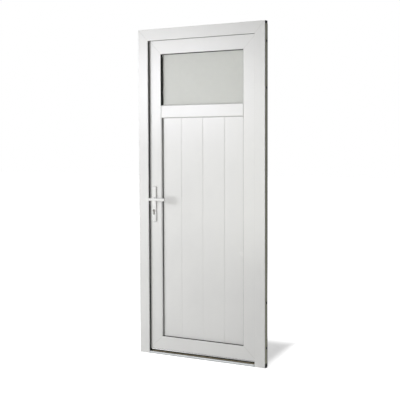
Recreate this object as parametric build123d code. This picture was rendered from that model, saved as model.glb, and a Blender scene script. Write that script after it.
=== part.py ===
"""White plastic back door: frame, inward-opening leaf and lever handle set.

Millimetres. X runs across the door with the hinges at +X, Y runs from the weather side (-Y)
to the room (+Y), and Z is up. The origin is under the middle of the threshold.
"""
import os

from build123d import *

# Door frame
FRAME_WIDTH = 880.0
FRAME_HEIGHT = 2000.0
FRAME_DEPTH = 60.0
FRAME_FACE = 69.0
LIP_THICKNESS = 12.0
LIP_ROUND = 3.0
REBATE_DEPTH = 20.0
FLANGE_DEPTH = 30.0
BACK_STEP = 14.0
OUTER_ROUND = 1.5

# Weld grooves along the mitres
WELD_WIDTH = 2.4
WELD_DEPTH = 0.6

# Clearances and seals
MOVING_GAP = 5.0
REBATE_GAP = 11.0
SEAL_THICKNESS = 3.0
SEAL_WIDTH = 8.0
SEAL_SHOW = 1.0
SEAL_FOOT_WIDTH = 3.0
SEAL_FOOT_DEPTH = 3.5
SEAL_FOOT_INSET = 2.5
RUNNING_CLEARANCE = 0.05
SEAT_CLEARANCE = 0.2

# Leaf members
LEAF_FACE = 95.0
LEAF_ROUND = 2.0
LEAF_BOTTOM = 27.0
BOTTOM_RAIL_FACE = 85.0
OVERLAP = 17.0
OVERLAP_THICKNESS = 12.0
MID_RAIL_BOTTOM = 1460.0
MID_RAIL_FACE = 77.5
GLAZING_LIP_THICKNESS = 14.0
GLAZING_REBATE = 20.0
BEVEL_WIDTH = 5.0
BEVEL_DEPTH = 3.0
BACK_ROUND = 2.0

# Glass unit, infill panel and beads
GASKET_THICKNESS = 3.0
GASKET_WIDTH = 8.0
GASKET_SHOW = 1.0
BEAD_GASKET_THICKNESS = 2.0
INFILL_THICKNESS = 24.0
INFILL_EDGE_GAP = 5.0
PANE_THICKNESS = 4.0
SPACER_WIDTH = 11.0
SPACER_INSET = 2.0
BEAD_BEVEL = 8.0
GROOVE_PITCH = 151.0
GROOVE_COUNT = 3
GROOVE_WIDTH = 4.0
GROOVE_DEPTH = 1.0

# Threshold
NOSE_HEIGHT = 14.0
NOSE_DEPTH = 10.0
RIDGE_HEIGHT = 18.0
CHANNEL_HEIGHT = 5.0
CHANNEL_WIDTH = 8.0
REAR_SLOPE_DEPTH = 14.0
REAR_EDGE_HEIGHT = 6.0
THRESHOLD_SEAL_HEIGHT = 3.0
THRESHOLD_SEAL_WIDTH = 16.0
TREAD_GROOVE_COUNT = 3
TREAD_GROOVE_PITCH = 3.5
TREAD_GROOVE_WIDTH = 1.5
TREAD_GROOVE_DEPTH = 1.0

# Wall fixing holes through the jambs
FIXING_HOLE_RADIUS = 5.0
FIXING_OFFSET = 10.0
FIXING_FROM_ENDS = (115.0, 380.0)

# Handle set and lock
SPINDLE_HEIGHT = 962.0
BACKSET = 42.0
LOCK_CENTRES = 72.0
PLATE_WIDTH = 32.0
PLATE_LENGTH = 220.0
PLATE_ABOVE_SPINDLE = 80.0
PLATE_THICKNESS = 9.0
PLATE_CORNER = 11.0
PLATE_CHAMFER = 2.5
NECK_RADIUS = 9.0
LEVER_REACH = 55.0
LEVER_LENGTH = 112.0
LEVER_ROOT_WIDTH = 18.0
LEVER_ROOT_HEIGHT = 15.0
LEVER_ARM_THICKNESS = 12.0
LEVER_TIP_THICKNESS = 9.0
LEVER_TIP_HEIGHT = 18.0
LEVER_TIP_LENGTH = 8.0
LEVER_OUTER_BEND = 11.0
LEVER_INNER_BEND = 6.0
LEVER_TIP_ROUND = 3.5
LEVER_CHAMFER = 2.5
COLLAR_RADIUS = 12.5
COLLAR_HEIGHT = 3.0
SPINDLE_SIDE = 8.0
SPINDLE_HOLE_RADIUS = 10.0
CYLINDER_RADIUS = 8.5
CYLINDER_LEG_WIDTH = 10.0
CYLINDER_HEIGHT = 33.0
CYLINDER_PROUD = 3.0
KEYWAY_WIDTH = 2.4
KEYWAY_HEIGHT = 8.5
KEYWAY_DEPTH = 6.0

# Lock edge
FACEPLATE_WIDTH = 16.0
FACEPLATE_THICKNESS = 2.0
FACEPLATE_FROM_BOTTOM = 213.0
FACEPLATE_FROM_TOP = 200.0
EDGE_CHANNEL_WIDTH = 11.0
EDGE_CHANNEL_DEPTH = 8.0
BOLT_WIDTH = 9.0
LATCH_HEIGHT = 22.0
DEADBOLT_HEIGHT = 34.0
HOOK_HEIGHT = 40.0
HOOK_DISTANCE = 640.0
KEEPER_WIDTH = 22.0
KEEPER_THICKNESS = 2.0
KEEPER_MARGIN = 22.0
KEEPER_HOLE_MARGIN = 3.0
KEEPER_CORNER = 4.0

# Hinges
HINGE_FROM_BOTTOM = 233.0
HINGE_FROM_TOP = 220.0
HINGE_LENGTH = 105.0
KNUCKLE_RADIUS = 6.5
KNUCKLE_GAP = 0.5
KNUCKLE_CLEARANCE = 2.5
PIN_RADIUS = 3.5
PIN_CAP_RADIUS = 5.5
PIN_CAP_HEIGHT = 4.0
HINGE_SET_BACK = 3.0
HINGE_WING_THICKNESS = 3.5
HINGE_WING_WIDTH = 44.0
HINGE_BASE_WIDTH = 18.0
HINGE_BASE_THICKNESS = 6.0
HINGE_WEB_THICKNESS = 6.0
HINGE_CORNER = 6.0

# Depths, from the weather side inwards
FRONT = -FRAME_DEPTH / 2
BACK = FRAME_DEPTH / 2
LIP_BACK = FRONT + LIP_THICKNESS
LEAF_FRONT = LIP_BACK + SEAL_THICKNESS + MOVING_GAP
OVERLAP_FRONT = BACK + MOVING_GAP + SEAL_THICKNESS
LEAF_BACK = OVERLAP_FRONT + OVERLAP_THICKNESS
LEAF_MIDDLE = (LEAF_FRONT + LEAF_BACK) / 2
GLAZING_LIP_BACK = LEAF_FRONT + GLAZING_LIP_THICKNESS
INFILL_FRONT = GLAZING_LIP_BACK + GASKET_THICKNESS
INFILL_BACK = INFILL_FRONT + INFILL_THICKNESS
BEAD_FRONT = INFILL_BACK + BEAD_GASKET_THICKNESS
LOCK_DEPTH = (LEAF_FRONT + OVERLAP_FRONT) / 2
EDGE_GROOVE_WIDTH = FACEPLATE_WIDTH + 2 * SEAT_CLEARANCE
FIXING_DEPTH = LIP_BACK + FIXING_OFFSET

# Half widths and heights
HALF_WIDTH = FRAME_WIDTH / 2
HALF_CLEAR = HALF_WIDTH - FRAME_FACE
HALF_REBATE = HALF_CLEAR + REBATE_DEPTH
HALF_LEAF = HALF_REBATE - REBATE_GAP
HALF_INFILL = HALF_LEAF - LEAF_FACE
HEAD_CLEAR = FRAME_HEIGHT - FRAME_FACE
LEAF_TOP = HEAD_CLEAR + REBATE_DEPTH - REBATE_GAP
GLASS_TOP = LEAF_TOP - LEAF_FACE
MID_RAIL_TOP = MID_RAIL_BOTTOM + MID_RAIL_FACE
MID_RAIL_CENTRE = MID_RAIL_BOTTOM + MID_RAIL_FACE / 2
PANEL_BOTTOM = LEAF_BOTTOM + BOTTOM_RAIL_FACE
RIDGE_FRONT = FRONT + NOSE_DEPTH + CHANNEL_WIDTH
FIXING_HEIGHTS = [*FIXING_FROM_ENDS, *(FRAME_HEIGHT - distance for distance in FIXING_FROM_ENDS)]

# Middles of the seals' feet, out from the openings' edges
FRAME_FOOT = SEAL_WIDTH - SEAL_SHOW - SEAL_FOOT_INSET
GASKET_FOOT = GASKET_WIDTH - GASKET_SHOW - SEAL_FOOT_INSET

# Handle and hinge axes
SPINDLE_X = -HALF_LEAF + BACKSET
CYLINDER_CENTRE = SPINDLE_HEIGHT - LOCK_CENTRES
HINGE_X = HALF_LEAF + OVERLAP + KNUCKLE_CLEARANCE + KNUCKLE_RADIUS
HINGE_Y = LEAF_BACK + HINGE_SET_BACK
LOWER_HINGE = LEAF_BOTTOM + HINGE_FROM_BOTTOM
UPPER_HINGE = LEAF_TOP - HINGE_FROM_TOP
HINGE_HEIGHTS = {"lower": LOWER_HINGE, "middle": (LOWER_HINGE + UPPER_HINGE) / 2, "upper": UPPER_HINGE}

# How far cutters reach: past the whole door, and past one face
REACH = 2 * (FRAME_WIDTH + FRAME_HEIGHT)
OVERCUT = 1.0


def box_between(low, high):
    """Box from its lowest to its highest corner."""
    size = [b - a for a, b in zip(low, high)]
    centre = [(a + b) / 2 for a, b in zip(low, high)]
    return Pos(*centre) * Box(*size)


def rounded_section(points, rounds=()):
    """Closed outline with some of its corners rounded: pairs of a corner and its radius."""
    face = Polygon(*points, align=None)
    for corner, radius in rounds:
        face = fillet(face.vertices().sort_by_distance((*corner, 0))[0], radius)
    return face


def side_plane(side, edge):
    """Plane across a member: x points in from the outer edge and y towards the room."""
    planes = {
        "left": Plane((-edge, 0, 0), x_dir=(1, 0, 0), z_dir=(0, 0, 1)),
        "right": Plane((edge, 0, 0), x_dir=(-1, 0, 0), z_dir=(0, 0, -1)),
        "top": Plane((0, 0, edge), x_dir=(0, 0, -1), z_dir=(1, 0, 0)),
        "bottom": Plane((0, 0, edge), x_dir=(0, 0, 1), z_dir=(-1, 0, 0)),
    }
    return planes[side]


def through_door(sketch, front, back):
    """Solid of a sketch seen from the front, between two depths."""
    solid = extrude(Plane.XZ * sketch, amount=(back - front) / 2, both=True)
    return Pos(0, (front + back) / 2, 0) * solid


def upright_prism(points, front, back):
    """Prism of an outline seen from the front, between two depths."""
    return through_door(Polygon(*points, align=None), front, back)


def member(section, side, edge, region):
    """Profile run along one side of the door and trimmed to its mitred region."""
    run = extrude(side_plane(side, edge) * section, amount=REACH, both=True)
    return run & upright_prism(region, -REACH, REACH)


def ring_regions(half_outer, half_inner, z_low, z_low_inner, z_high_inner, z_high):
    """Mitred front outlines of the four bars round a rectangular opening."""
    outer = [(-half_outer, z_low), (half_outer, z_low), (half_outer, z_high), (-half_outer, z_high)]
    inner = [
        (-half_inner, z_low_inner),
        (half_inner, z_low_inner),
        (half_inner, z_high_inner),
        (-half_inner, z_high_inner),
    ]
    return {
        "bottom": [outer[0], outer[1], inner[1], inner[0]],
        "right": [outer[1], outer[2], inner[2], inner[1]],
        "top": [outer[2], outer[3], inner[3], inner[2]],
        "left": [outer[3], outer[0], inner[0], inner[3]],
    }


def ring(half, low, high, width, front, back):
    """Flat rectangular ring, such as a gasket, with the same width all round."""
    outline = Pos(0, (low + high) / 2) * Rectangle(2 * half, high - low)
    return through_door(outline - offset(outline, -width), front, back)


def arch(half_outer, top_outer, width, bottom, front, back):
    """Flat strip up one side, across the top and down the other."""
    half_inner = half_outer - width
    top_inner = top_outer - width
    outline = [
        (-half_outer, bottom),
        (-half_outer, top_outer),
        (half_outer, top_outer),
        (half_outer, bottom),
        (half_inner, bottom),
        (half_inner, top_inner),
        (-half_inner, top_inner),
        (-half_inner, bottom),
    ]
    return upright_prism(outline, front, back)


def seal_groove(middle, face, inwards):
    """Cut in a section for a seal's foot, where inwards is the way into the bar along the depth."""
    depth = SEAL_FOOT_DEPTH + SEAT_CLEARANCE
    return Pos(middle, face + inwards * depth / 2) * Rectangle(SEAL_FOOT_WIDTH + 2 * SEAT_CLEARANCE, depth)


def weld_grooves(corners, depths):
    """Shallow V cuts along mitres on both sides of the door: pairs of inner and outer corner."""
    half = WELD_WIDTH / 2
    vee = Polygon((-WELD_DEPTH, 0), (0, half), (WELD_DEPTH, 0), (0, -half), align=None)
    cuts = []
    for inner, outer in corners:
        for side in (-1, 1):
            for depth in depths:
                start = Vector(side * inner[0], depth, inner[1])
                end = Vector(side * outer[0], depth, outer[1])
                across = Plane((start + end) / 2, x_dir=(0, 1, 0), z_dir=end - start)
                reach = (end - start).length / 2 + WELD_WIDTH
                cuts.append(extrude(across * vee, amount=reach, both=True))
    return cuts


def frame_section():
    """Frame profile: a front lip over the rebate, and a back part set in from the wall."""
    rebate = FRAME_FACE - REBATE_DEPTH
    points = [
        (0, FRONT),
        (FRAME_FACE, FRONT),
        (FRAME_FACE, LIP_BACK),
        (rebate, LIP_BACK),
        (rebate, BACK),
        (BACK_STEP, BACK),
        (BACK_STEP, FRONT + FLANGE_DEPTH),
        (0, FRONT + FLANGE_DEPTH),
    ]
    rounds = [((FRAME_FACE, FRONT), LIP_ROUND), ((0, FRONT), OUTER_ROUND)]
    return rounded_section(points, rounds) - seal_groove(FRAME_FACE - FRAME_FOOT, LIP_BACK, -1)


def leaf_section(face, overlap):
    """Leaf profile: glazing lip in front, glazing rebate, and the overlap at the back.

    A bar with an overlap also has the stepped hardware channel in its outer edge.
    """
    rebate = face - GLAZING_REBATE
    points = [
        (0, LEAF_FRONT),
        (face - BEVEL_WIDTH, LEAF_FRONT),
        (face, LEAF_FRONT + BEVEL_DEPTH),
        (face, GLAZING_LIP_BACK),
        (rebate, GLAZING_LIP_BACK),
        (rebate, LEAF_BACK),
        (-overlap, LEAF_BACK),
    ]
    if overlap:
        points += [(-overlap, OVERLAP_FRONT), (0, OVERLAP_FRONT)]
    rounds = [((-overlap, LEAF_BACK), BACK_ROUND), ((0, LEAF_FRONT), LEAF_ROUND)]
    section = rounded_section(points, rounds)
    if overlap:
        section -= seal_groove(-overlap / 2, OVERLAP_FRONT, 1)
        section -= Pos(0, LOCK_DEPTH) * Rectangle(2 * FACEPLATE_THICKNESS, EDGE_GROOVE_WIDTH)
        section -= Pos(0, LOCK_DEPTH) * Rectangle(2 * EDGE_CHANNEL_DEPTH, EDGE_CHANNEL_WIDTH)
    return section


def bead_section():
    """Glazing bead in the leaf's rebate, sloped towards the glass on the room side."""
    points = [
        (0, BEAD_FRONT),
        (GLAZING_REBATE, BEAD_FRONT),
        (GLAZING_REBATE, LEAF_BACK - BEAD_BEVEL),
        (GLAZING_REBATE - BEAD_BEVEL, LEAF_BACK),
        (0, LEAF_BACK),
    ]
    return rounded_section(points) - seal_groove(GLAZING_REBATE - GASKET_FOOT, BEAD_FRONT, 1)


def fixing_holes(side):
    """Wall fixing holes through one jamb, where side is -1 for the lock side and 1 for the hinges."""
    length = FRAME_FACE - REBATE_DEPTH
    centre = side * (HALF_WIDTH - length / 2)
    hole = Rot(0, 90, 0) * Cylinder(FIXING_HOLE_RADIUS, 2 * FRAME_FACE)
    return [Pos(centre, FIXING_DEPTH, height) * hole for height in FIXING_HEIGHTS]


def build_frame():
    """Jambs and head, mitred at the top corners."""
    def jamb_region(side):
        return [
            (side * HALF_WIDTH, 0),
            (side * HALF_WIDTH, FRAME_HEIGHT),
            (side * HALF_CLEAR, HEAD_CLEAR),
            (side * HALF_CLEAR, 0),
        ]

    head_region = [
        (-HALF_WIDTH, FRAME_HEIGHT),
        (HALF_WIDTH, FRAME_HEIGHT),
        (HALF_CLEAR, HEAD_CLEAR),
        (-HALF_CLEAR, HEAD_CLEAR),
    ]
    section = frame_section()
    welds = weld_grooves([((HALF_CLEAR, HEAD_CLEAR), (HALF_WIDTH, FRAME_HEIGHT))], (FRONT, BACK))
    lock_jamb = member(section, "left", HALF_WIDTH, jamb_region(-1))
    hinge_jamb = member(section, "right", HALF_WIDTH, jamb_region(1))
    frame_head = member(section, "top", FRAME_HEIGHT, head_region)
    cover = SEAL_WIDTH - SEAL_SHOW
    seal_back = LIP_BACK + SEAL_THICKNESS
    seal = arch(HALF_CLEAR + cover, HEAD_CLEAR + cover, SEAL_WIDTH, RIDGE_HEIGHT, LIP_BACK, seal_back)
    foot_edge = FRAME_FOOT + SEAL_FOOT_WIDTH / 2
    foot_front = LIP_BACK - SEAL_FOOT_DEPTH
    seal += arch(
        HALF_CLEAR + foot_edge, HEAD_CLEAR + foot_edge, SEAL_FOOT_WIDTH, RIDGE_HEIGHT, foot_front, LIP_BACK
    )
    return {
        "lock_jamb": lock_jamb - fixing_holes(-1) - welds,
        "hinge_jamb": hinge_jamb - fixing_holes(1) - welds,
        "frame_head": frame_head - welds,
        "frame_seal": seal,
    }


def build_threshold():
    """Low metal threshold with a front nose, a drain channel and a ridge that carries a seal."""
    nose_back = FRONT + NOSE_DEPTH
    points = [
        (FRONT, 0),
        (FRONT, NOSE_HEIGHT),
        (nose_back, NOSE_HEIGHT),
        (nose_back, CHANNEL_HEIGHT),
        (RIDGE_FRONT, CHANNEL_HEIGHT),
        (RIDGE_FRONT, RIDGE_HEIGHT),
        (BACK - REAR_SLOPE_DEPTH, RIDGE_HEIGHT),
        (BACK, REAR_EDGE_HEIGHT),
        (BACK, 0),
    ]
    section = rounded_section(points, [((FRONT, NOSE_HEIGHT), LIP_ROUND)])
    sill = extrude(Plane.YZ * section, amount=HALF_REBATE, both=True)
    for side in (-1, 1):
        left, right = sorted((side * HALF_CLEAR, side * (HALF_REBATE + OVERCUT)))
        low = (left, FRONT - OVERCUT, -OVERCUT)
        sill -= box_between(low, (right, LIP_BACK, RIDGE_HEIGHT + OVERCUT))
    seal_back = RIDGE_FRONT + THRESHOLD_SEAL_WIDTH
    tread_middle = (seal_back + BACK - REAR_SLOPE_DEPTH) / 2
    for index in range(TREAD_GROOVE_COUNT):
        depth = tread_middle + (index - (TREAD_GROOVE_COUNT - 1) / 2) * TREAD_GROOVE_PITCH
        groove = Box(2 * HALF_REBATE, TREAD_GROOVE_WIDTH, 2 * TREAD_GROOVE_DEPTH)
        sill -= Pos(0, depth, RIDGE_HEIGHT) * groove
    foot_middle = (RIDGE_FRONT + seal_back) / 2
    half_foot = SEAL_FOOT_WIDTH / 2
    foot_low = (-HALF_REBATE, foot_middle - half_foot, RIDGE_HEIGHT - SEAL_FOOT_DEPTH)
    foot_high = (HALF_REBATE, foot_middle + half_foot, RIDGE_HEIGHT)
    sill -= box_between(
        [value - SEAT_CLEARANCE for value in foot_low], [value + SEAT_CLEARANCE for value in foot_high]
    )
    seal = box_between(
        (-HALF_REBATE, RIDGE_FRONT, RIDGE_HEIGHT),
        (HALF_REBATE, seal_back, RIDGE_HEIGHT + THRESHOLD_SEAL_HEIGHT),
    )
    return {"threshold": sill, "threshold_seal": seal + box_between(foot_low, foot_high)}


def cylinder_outline(clearance=0.0):
    """Round and leg of a profile lock cylinder, seen from the front, grown by a clearance."""
    barrel = Pos(SPINDLE_X, CYLINDER_CENTRE) * Circle(CYLINDER_RADIUS + clearance)
    leg_end = CYLINDER_CENTRE + CYLINDER_RADIUS - CYLINDER_HEIGHT + CYLINDER_LEG_WIDTH / 2
    leg_height = CYLINDER_CENTRE - leg_end
    leg_centre = (CYLINDER_CENTRE + leg_end) / 2
    half_leg = CYLINDER_LEG_WIDTH / 2 + clearance
    leg = Pos(SPINDLE_X, leg_centre) * Rectangle(2 * half_leg, leg_height)
    end = Pos(SPINDLE_X, leg_end) * Circle(half_leg)
    return barrel + leg + end


def gasket_foot(low, high, front, back, clearance=0.0):
    """Foot of the gasket round one opening of the leaf, grown sideways by a clearance."""
    edge = GASKET_FOOT + SEAL_FOOT_WIDTH / 2 + clearance
    return ring(HALF_INFILL + edge, low - edge, high + edge, SEAL_FOOT_WIDTH + 2 * clearance, front, back)


def outer_gasket_foot(low, high, clearance=0.0):
    """Foot of a weather gasket, or with a clearance the groove that takes it in the glazing lips."""
    front = GLAZING_LIP_BACK - SEAL_FOOT_DEPTH - clearance
    return gasket_foot(low, high, front, GLAZING_LIP_BACK, clearance)


def build_leaf():
    """Stiles and rails, mitred at the corners, with the lock's holes through the lock stile."""
    half_edge = HALF_LEAF + OVERLAP
    top_edge = LEAF_TOP + OVERLAP

    def stile_region(side):
        return [
            (side * HALF_LEAF, LEAF_BOTTOM),
            (side * half_edge, LEAF_BOTTOM),
            (side * half_edge, top_edge),
            (side * HALF_INFILL, GLASS_TOP),
            (side * HALF_INFILL, PANEL_BOTTOM),
        ]

    top_region = [
        (-half_edge, top_edge),
        (half_edge, top_edge),
        (HALF_INFILL, GLASS_TOP),
        (-HALF_INFILL, GLASS_TOP),
    ]
    bottom_region = [
        (-HALF_LEAF, LEAF_BOTTOM),
        (HALF_LEAF, LEAF_BOTTOM),
        (HALF_INFILL, PANEL_BOTTOM),
        (-HALF_INFILL, PANEL_BOTTOM),
    ]
    section = leaf_section(LEAF_FACE, OVERLAP)
    top_mitre = ((HALF_INFILL, GLASS_TOP), (half_edge, top_edge))
    bottom_mitre = ((HALF_INFILL, PANEL_BOTTOM), (HALF_LEAF, LEAF_BOTTOM))
    welds = weld_grooves([top_mitre, bottom_mitre], (LEAF_FRONT, LEAF_BACK))
    glass_groove = outer_gasket_foot(MID_RAIL_TOP, GLASS_TOP, SEAT_CLEARANCE)
    panel_groove = outer_gasket_foot(PANEL_BOTTOM, MID_RAIL_BOTTOM, SEAT_CLEARANCE)
    cuts = [*welds, glass_groove, panel_groove]
    lock_stile = member(section, "left", HALF_LEAF, stile_region(-1))
    spindle_hole = Pos(SPINDLE_X, SPINDLE_HEIGHT) * Circle(SPINDLE_HOLE_RADIUS)
    lock_holes = spindle_hole + cylinder_outline(SEAT_CLEARANCE)
    lock_stile -= through_door(lock_holes, LEAF_FRONT - OVERCUT, LEAF_BACK + OVERCUT)
    hinge_stile = member(section, "right", HALF_LEAF, stile_region(1))
    top_rail = member(section, "top", LEAF_TOP, top_region)
    bottom_rail = member(leaf_section(BOTTOM_RAIL_FACE, 0), "bottom", LEAF_BOTTOM, bottom_region)
    seal = Part()
    strips = (
        (SEAL_WIDTH, OVERLAP_FRONT - SEAL_THICKNESS, OVERLAP_FRONT),
        (SEAL_FOOT_WIDTH, OVERLAP_FRONT, OVERLAP_FRONT + SEAL_FOOT_DEPTH),
    )
    for width, front, back in strips:
        out = (OVERLAP + width) / 2
        seal += arch(HALF_LEAF + out, LEAF_TOP + out, width, LEAF_BOTTOM, front, back)
    return {
        "lock_stile": lock_stile - cuts,
        "hinge_stile": hinge_stile - cuts,
        "leaf_top_rail": top_rail - cuts,
        "leaf_mid_rail": mid_rail() - [glass_groove, panel_groove],
        "leaf_bottom_rail": bottom_rail - cuts,
        "leaf_seal": seal,
    }


def mid_rail():
    """Rail between the glass and the panel, with a glazing lip above and below."""
    half = MID_RAIL_FACE / 2
    core = half - GLAZING_REBATE
    lip = [
        (LEAF_FRONT, half - BEVEL_WIDTH),
        (LEAF_FRONT + BEVEL_DEPTH, half),
        (GLAZING_LIP_BACK, half),
        (GLAZING_LIP_BACK, -half),
        (LEAF_FRONT + BEVEL_DEPTH, -half),
        (LEAF_FRONT, BEVEL_WIDTH - half),
    ]
    front = extrude(Plane.YZ * rounded_section(lip), amount=HALF_INFILL, both=True)
    half_core = HALF_INFILL + GLAZING_REBATE
    body = box_between((-half_core, GLAZING_LIP_BACK, -core), (half_core, LEAF_BACK, core))
    return Pos(0, 0, MID_RAIL_CENTRE) * (front + body)


def build_light():
    """Sealed glass unit in the upper opening, with its gaskets and beads."""
    low, high = MID_RAIL_TOP, GLASS_TOP
    cover = GLAZING_REBATE - INFILL_EDGE_GAP
    half = HALF_INFILL + cover
    z_low, z_high = low - cover, high + cover
    outline = [(-half, z_low), (half, z_low), (half, z_high), (-half, z_high)]
    inner_front = INFILL_BACK - PANE_THICKNESS
    spacer_half = half - SPACER_INSET
    nodes = {
        "outer_pane": upright_prism(outline, INFILL_FRONT, INFILL_FRONT + PANE_THICKNESS),
        "inner_pane": upright_prism(outline, inner_front, INFILL_BACK),
        "glass_spacer": ring(
            spacer_half,
            z_low + SPACER_INSET,
            z_high - SPACER_INSET,
            SPACER_WIDTH,
            INFILL_FRONT + PANE_THICKNESS,
            inner_front,
        ),
    }
    nodes.update(gaskets_and_beads("glass", low, high))
    return nodes


def build_panel():
    """Flat insulated panel with upright V grooves on both faces, its gaskets and beads."""
    low, high = PANEL_BOTTOM, MID_RAIL_BOTTOM
    cover = GLAZING_REBATE - INFILL_EDGE_GAP
    half = HALF_INFILL + cover
    panel = box_between((-half, INFILL_FRONT, low - cover), (half, INFILL_BACK, high + cover))
    first = -GROOVE_PITCH * (GROOVE_COUNT - 1) / 2
    for face, inwards in ((INFILL_FRONT, 1), (INFILL_BACK, -1)):
        vee = Polygon(
            (-GROOVE_WIDTH / 2, face),
            (0, face + inwards * GROOVE_DEPTH),
            (GROOVE_WIDTH / 2, face),
            align=None,
        )
        cutter = extrude(vee, amount=REACH, both=True)
        for index in range(GROOVE_COUNT):
            panel -= Pos(first + index * GROOVE_PITCH, 0, 0) * cutter
    nodes = {"infill_panel": panel}
    nodes.update(gaskets_and_beads("panel", low, high))
    return nodes


def gaskets_and_beads(name, low, high):
    """Weather gasket, room gasket and four mitred beads round one opening of the leaf."""
    half_seat = HALF_INFILL + GLAZING_REBATE
    grip = GASKET_WIDTH - GASKET_SHOW
    lip = (HALF_INFILL + grip, low - grip, high + grip, GASKET_WIDTH)
    outer = ring(*lip, GLAZING_LIP_BACK, INFILL_FRONT)
    inner = ring(*lip, INFILL_BACK, BEAD_FRONT)
    inner_foot = gasket_foot(low, high, BEAD_FRONT, BEAD_FRONT + SEAL_FOOT_DEPTH)
    nodes = {
        f"{name}_outer_gasket": outer + outer_gasket_foot(low, high),
        f"{name}_inner_gasket": inner + inner_foot,
    }
    z_low, z_high = low - GLAZING_REBATE, high + GLAZING_REBATE
    regions = ring_regions(half_seat, HALF_INFILL, z_low, low, high, z_high)
    edges = {"left": half_seat, "right": half_seat, "top": z_high, "bottom": z_low}
    for side, region in regions.items():
        nodes[f"{name}_bead_{side}"] = member(bead_section(), side, edges[side], region)
    return nodes


def lever_arm():
    """Arm of the outside lever: bent once, and flatter and taller towards its tip."""
    plate_front = LEAF_FRONT - PLATE_THICKNESS
    front = plate_front - LEVER_REACH
    near, far = SPINDLE_X - LEVER_ROOT_WIDTH / 2, SPINDLE_X + LEVER_ROOT_WIDTH / 2
    tip = SPINDLE_X + LEVER_LENGTH
    outer_bend = (near, front)
    inner_bend = (far, front + LEVER_ARM_THICKNESS)
    tip_front, tip_back = (tip, front), (tip, front + LEVER_TIP_THICKNESS)
    plan = rounded_section(
        [(near, plate_front), outer_bend, tip_front, tip_back, inner_bend, (far, plate_front)],
        [
            (outer_bend, LEVER_OUTER_BEND),
            (inner_bend, LEVER_INNER_BEND),
            (tip_front, LEVER_TIP_ROUND),
            (tip_back, LEVER_TIP_ROUND),
        ],
    )
    arm = Pos(0, 0, SPINDLE_HEIGHT) * extrude(plan, amount=LEVER_TIP_HEIGHT, both=True)
    taper_start = near + LEVER_OUTER_BEND + LEVER_INNER_BEND
    upper_edge = [
        (near, LEVER_ROOT_HEIGHT / 2),
        (taper_start, LEVER_ROOT_HEIGHT / 2),
        (tip - LEVER_TIP_LENGTH, LEVER_TIP_HEIGHT / 2),
        (tip, LEVER_TIP_HEIGHT / 2),
    ]
    lower_edge = [(across, -up) for across, up in reversed(upper_edge)]
    elevation = Pos(0, SPINDLE_HEIGHT) * Polygon(*upper_edge, *lower_edge, align=None)
    arm &= through_door(elevation, front - OVERCUT, LEAF_FRONT)
    clear_of_collar = plate_front - COLLAR_HEIGHT - LEVER_CHAMFER
    edges = [edge for edge in arm.edges() if edge.center().Y < clear_of_collar]
    return chamfer(edges, LEVER_CHAMFER)


def outside_lever():
    """Lever arm on a collar, with a round neck that turns in its plate."""
    plate_front = LEAF_FRONT - PLATE_THICKNESS
    neck_side = Plane((SPINDLE_X, LEAF_FRONT, SPINDLE_HEIGHT), z_dir=(0, -1, 0))
    neck = extrude(neck_side * Circle(NECK_RADIUS), amount=PLATE_THICKNESS + RUNNING_CLEARANCE)
    collar_side = Plane((SPINDLE_X, plate_front, SPINDLE_HEIGHT), z_dir=(0, -1, 0))
    collar = extrude(collar_side * Circle(COLLAR_RADIUS), amount=COLLAR_HEIGHT)
    return Pos(0, -RUNNING_CLEARANCE, 0) * (lever_arm() + collar) + neck


def outside_plate():
    """Long back plate with rounded ends, the lever's bearing and the lock's keyhole."""
    centre = SPINDLE_HEIGHT + PLATE_ABOVE_SPINDLE - PLATE_LENGTH / 2
    outline = Pos(SPINDLE_X, centre) * RectangleRounded(PLATE_WIDTH, PLATE_LENGTH, PLATE_CORNER)
    front = LEAF_FRONT - PLATE_THICKNESS
    plate = through_door(outline, front, LEAF_FRONT)
    rim = plate.faces().sort_by(Axis.Y)[0].edges()
    plate = chamfer(rim, PLATE_CHAMFER)
    bearing = Pos(SPINDLE_X, SPINDLE_HEIGHT) * Circle(NECK_RADIUS + RUNNING_CLEARANCE)
    holes = bearing + cylinder_outline(SEAT_CLEARANCE)
    return plate - through_door(holes, front - OVERCUT, LEAF_FRONT + OVERCUT)


def build_handles():
    """Plates, lock cylinder and levers on both faces of the lock stile."""
    middle = Plane((0, LEAF_MIDDLE, 0), z_dir=(0, 1, 0))
    plate = outside_plate()
    lever = outside_lever()
    front = LEAF_FRONT - PLATE_THICKNESS - CYLINDER_PROUD
    back = LEAF_BACK + PLATE_THICKNESS + CYLINDER_PROUD
    cylinder = through_door(cylinder_outline(), front, back)
    keyway = Pos(SPINDLE_X, 0, CYLINDER_CENTRE) * Box(KEYWAY_WIDTH, 2 * KEYWAY_DEPTH, KEYWAY_HEIGHT)
    for end in (front, back):
        cylinder -= Pos(0, end, 0) * keyway
    spindle = Pos(SPINDLE_X, LEAF_MIDDLE, SPINDLE_HEIGHT) * Box(
        SPINDLE_SIDE, LEAF_BACK - LEAF_FRONT, SPINDLE_SIDE
    )
    return {
        "outer_handle_plate": plate,
        "inner_handle_plate": mirror(plate, about=middle),
        "lock_cylinder": cylinder,
        "outer_lever": lever,
        "inner_lever": mirror(lever, about=middle),
        "lever_spindle": spindle,
    }


def lock_points():
    """Heights and sizes of the lock's bolts: latch, dead bolt and the two hooks."""
    return [
        (SPINDLE_HEIGHT, LATCH_HEIGHT),
        (CYLINDER_CENTRE, DEADBOLT_HEIGHT),
        (SPINDLE_HEIGHT + HOOK_DISTANCE, HOOK_HEIGHT),
        (SPINDLE_HEIGHT - HOOK_DISTANCE, HOOK_HEIGHT),
    ]


def edge_plate(outline, inner_x, outer_x):
    """Upright plate from an outline in depth and height, between two places across the door."""
    middle = (inner_x + outer_x) / 2
    return Pos(middle, 0, 0) * extrude(Plane.YZ * outline, amount=abs(outer_x - inner_x) / 2, both=True)


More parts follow.
